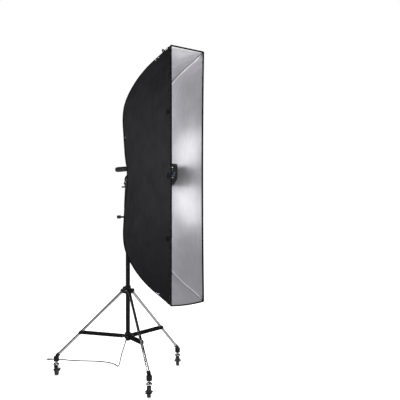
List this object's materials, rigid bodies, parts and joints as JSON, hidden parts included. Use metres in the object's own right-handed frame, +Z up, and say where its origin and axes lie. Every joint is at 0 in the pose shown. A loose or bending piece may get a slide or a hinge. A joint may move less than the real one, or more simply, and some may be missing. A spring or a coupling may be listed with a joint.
{
  "type": "studio softbox",
  "caption": "Tall strip softbox with a backward-facing flash head inside, on a tilting bracket and a folding rolling stand.",
  "frame": {"origin": "on the column's axis, at the height of the floor that the casters stand on", "axes": "+Z up along the column, -Y the way the box's open front faces, +X to the right seen from the front"},
  "size_m": [0.9546, 1.6117, 2.364],
  "materials": {
    "column_black": "satin black powder coat",
    "moulded_black": "fine moulded grain",
    "steel_pins": "plated",
    "leg_chrome": "bright chrome, slightly brushed",
    "brace_paint": "satin black paint",
    "wheel_core": "moulded",
    "tyre_rubber": "matte rubber",
    "bracket_cast": "black textured casting",
    "boom_metal": "satin",
    "head_shell": "satin dark grey",
    "dome_glass": "frosted",
    "rod_steel": "spring steel",
    "fabric_side": "black outside, silver inside",
    "fabric_end": "black outside, silver inside",
    "binding_fabric": "black webbing",
    "lead_rubber": "matte black"
  },
  "bodies": {
    "stand_column": {"column_lower_tube": "column_black", "column_foot_cap": "moulded_black", "column_collar": "moulded_black", "lower_collar": "moulded_black", "lower_collar_pins": "steel_pins", "cable_clip": "moulded_black", "lead_main": "lead_rubber", "plug": "lead_rubber"},
    "column_knob_body": {"column_knob": "moulded_black"},
    "leg_slider": {"leg_collar": "moulded_black", "leg_collar_pins": "steel_pins"},
    "leg_knob_body": {"leg_collar_knob": "moulded_black"},
    "leg_1": {"leg_tube_1": "leg_chrome", "leg_foot_1": "moulded_black", "brace_bracket_1": "steel_pins"},
    "brace_1_body": {"brace_1": "brace_paint"},
    "caster_1": {"caster_fork_1": "leg_chrome"},
    "wheel_1": {"caster_wheel_1": "wheel_core", "caster_tyre_1": "tyre_rubber"},
    "brake_1": {"brake_pedal_1": "moulded_black"},
    "leg_2": {"leg_tube_2": "leg_chrome", "leg_foot_2": "moulded_black", "brace_bracket_2": "steel_pins"},
    "brace_2_body": {"brace_2": "brace_paint"},
    "caster_2": {"caster_fork_2": "leg_chrome"},
    "wheel_2": {"caster_wheel_2": "wheel_core", "caster_tyre_2": "tyre_rubber"},
    "brake_2": {"brake_pedal_2": "moulded_black"},
    "leg_3": {"leg_tube_3": "leg_chrome", "leg_foot_3": "moulded_black", "brace_bracket_3": "steel_pins"},
    "brace_3_body": {"brace_3": "brace_paint"},
    "caster_3": {"caster_fork_3": "leg_chrome"},
    "wheel_3": {"caster_wheel_3": "wheel_core", "caster_tyre_3": "tyre_rubber"},
    "brake_3": {"brake_pedal_3": "moulded_black"},
    "column_upper": {"column_upper_tube": "column_black", "spigot": "steel_pins", "lead_middle": "lead_rubber"},
    "swivel": {"swivel_yoke": "bracket_cast", "lead_upper": "lead_rubber"},
    "spigot_lever_body": {"spigot_lever": "moulded_black"},
    "tilt": {"tilt_casting": "bracket_cast", "tilt_bolt": "steel_pins"},
    "handle": {"handle_rod": "steel_pins", "handle_grip": "moulded_black"},
    "box": {"boom_tube": "boom_metal", "head_cradle": "bracket_cast", "head_housing": "head_shell", "head_rear_panel": "moulded_black", "flash_dome": "dome_glass", "hub_ring": "bracket_cast", "rods": "rod_steel", "panel_left": "fabric_side", "panel_right": "fabric_side", "panel_upper": "fabric_end", "panel_lower": "fabric_end", "front_binding": "binding_fabric"},
    "dial": {"head_dial": "moulded_black"},
    "switch": {"power_switch": "moulded_black"}
  },
  "joints": [
    {"name": "leg_fold", "type": "slide", "parent": "stand_column", "child": "leg_slider", "axis": [0, 0, 1], "range_m": [0, 0.41845]},
    {"name": "column_knob_turn", "type": "hinge", "parent": "stand_column", "child": "column_knob_body", "pos_m": [-0.04092, 0.04388, 1.199], "axis": [-0.682, 0.7314, 0], "range_deg": [0, 360]},
    {"name": "leg_knob_turn", "type": "hinge", "parent": "leg_slider", "child": "leg_knob_body", "pos_m": [-0.03993, -0.0023, 0.679], "axis": [-0.9983, -0.0576, 0], "range_deg": [0, 360]},
    {"name": "leg_hinge_1", "type": "hinge", "parent": "leg_slider", "child": "leg_1", "pos_m": [0.04592, 0.00265, 0.6428], "axis": [0.0576, -0.9983, 0], "range_deg": [-33.81, 0.01]},
    {"name": "brace_hinge_1", "type": "hinge", "parent": "stand_column", "child": "brace_1_body", "pos_m": [0.03794, 0.00219, 0.317], "axis": [0.0576, -0.9983, 0], "range_deg": [-0.01, 69.2]},
    {"name": "caster_swivel_1", "type": "hinge", "parent": "leg_1", "child": "caster_1", "pos_m": [0.55608, 0.03206, 0.12], "axis": [0, 0, 1], "continuous": true},
    {"name": "wheel_spin_1", "type": "hinge", "parent": "caster_1", "child": "wheel_1", "pos_m": [0.56924, 0.04434, 0.04], "axis": [0.682, -0.7314, 0], "continuous": true},
    {"name": "brake_press_1", "type": "hinge", "parent": "caster_1", "child": "brake_1", "pos_m": [0.56924, 0.04434, 0.04], "axis": [0.682, -0.7314, 0], "range_deg": [-18, 0]},
    {"name": "leg_hinge_2", "type": "hinge", "parent": "leg_slider", "child": "leg_2", "pos_m": [-0.02525, 0.03845, 0.6428], "axis": [0.8358, 0.549, 0], "range_deg": [-33.81, 0.01]},
    {"name": "brace_hinge_2", "type": "hinge", "parent": "stand_column", "child": "brace_2_body", "pos_m": [-0.02086, 0.03176, 0.317], "axis": [0.8358, 0.549, 0], "range_deg": [-0.01, 69.2]},
    {"name": "caster_swivel_2", "type": "hinge", "parent": "leg_2", "child": "caster_2", "pos_m": [-0.30581, 0.46554, 0.12], "axis": [0, 0, 1], "continuous": true},
    {"name": "wheel_spin_2", "type": "hinge", "parent": "caster_2", "child": "wheel_2", "pos_m": [-0.29264, 0.47782, 0.04], "axis": [0.682, -0.7314, 0], "continuous": true},
    {"name": "brake_press_2", "type": "hinge", "parent": "caster_2", "child": "brake_2", "pos_m": [-0.29264, 0.47782, 0.04], "axis": [0.682, -0.7314, 0], "range_deg": [-18, 0]},
    {"name": "leg_hinge_3", "type": "hinge", "parent": "leg_slider", "child": "leg_3", "pos_m": [-0.02067, -0.0411, 0.6428], "axis": [-0.8934, 0.4493, 0], "range_deg": [-33.81, 0.01]},
    {"name": "brace_hinge_3", "type": "hinge", "parent": "stand_column", "child": "brace_3_body", "pos_m": [-0.01707, -0.03395, 0.317], "axis": [-0.8934, 0.4493, 0], "range_deg": [-0.01, 69.2]},
    {"name": "caster_swivel_3", "type": "hinge", "parent": "leg_3", "child": "caster_3", "pos_m": [-0.25027, -0.49761, 0.12], "axis": [0, 0, 1], "continuous": true},
    {"name": "wheel_spin_3", "type": "hinge", "parent": "caster_3", "child": "wheel_3", "pos_m": [-0.26343, -0.50988, 0.04], "axis": [-0.682, 0.7314, 0], "continuous": true},
    {"name": "brake_press_3", "type": "hinge", "parent": "caster_3", "child": "brake_3", "pos_m": [-0.26343, -0.50988, 0.04], "axis": [-0.682, 0.7314, 0], "range_deg": [-18, 0]},
    {"name": "column_extend", "type": "slide", "parent": "stand_column", "child": "column_upper", "axis": [0, 0, 1], "range_m": [-0.15, 0.5], "deforming": ["lead_middle"]},
    {"name": "head_swivel", "type": "hinge", "parent": "column_upper", "child": "swivel", "pos_m": [0, 0, 1.42], "axis": [0, 0, 1], "range_deg": [-90, 90], "deforming": ["lead_upper"]},
    {"name": "spigot_lever_turn", "type": "hinge", "parent": "swivel", "child": "spigot_lever_body", "pos_m": [-0.02728, 0.02925, 1.422], "axis": [-0.682, 0.7314, 0], "range_deg": [-60, 0]},
    {"name": "head_tilt", "type": "hinge", "parent": "swivel", "child": "tilt", "pos_m": [0, -0.018, 1.474], "axis": [1, 0, 0], "range_deg": [-60, 8]},
    {"name": "handle_twist", "type": "hinge", "parent": "tilt", "child": "handle", "pos_m": [0, 0.002, 1.557], "axis": [0, 0.9997, -0.0262], "range_deg": [-90, 0]},
    {"name": "box_roll", "type": "hinge", "parent": "tilt", "child": "box", "pos_m": [0, -0.067, 1.489], "axis": [0, 1, 0], "range_deg": [-90, 90]},
    {"name": "dial_turn", "type": "hinge", "parent": "box", "child": "dial", "pos_m": [0, -0.45, 1.518], "axis": [0, -1, 0], "range_deg": [-135, 135]},
    {"name": "switch_rock", "type": "hinge", "parent": "box", "child": "switch", "pos_m": [0.034, -0.44353, 1.47], "axis": [1, 0, 0], "range_deg": [-14, 0]}
  ],
  "couplings": [
    {"joint": "leg_hinge_1", "follows": "leg_fold", "rad_per_m": -1.4098},
    {"joint": "brace_hinge_1", "follows": "leg_fold", "rad_per_m": 2.8858},
    {"joint": "leg_hinge_2", "follows": "leg_fold", "rad_per_m": -1.4098},
    {"joint": "brace_hinge_2", "follows": "leg_fold", "rad_per_m": 2.8858},
    {"joint": "leg_hinge_3", "follows": "leg_fold", "rad_per_m": -1.4098},
    {"joint": "brace_hinge_3", "follows": "leg_fold", "rad_per_m": 2.8858}
  ]
}
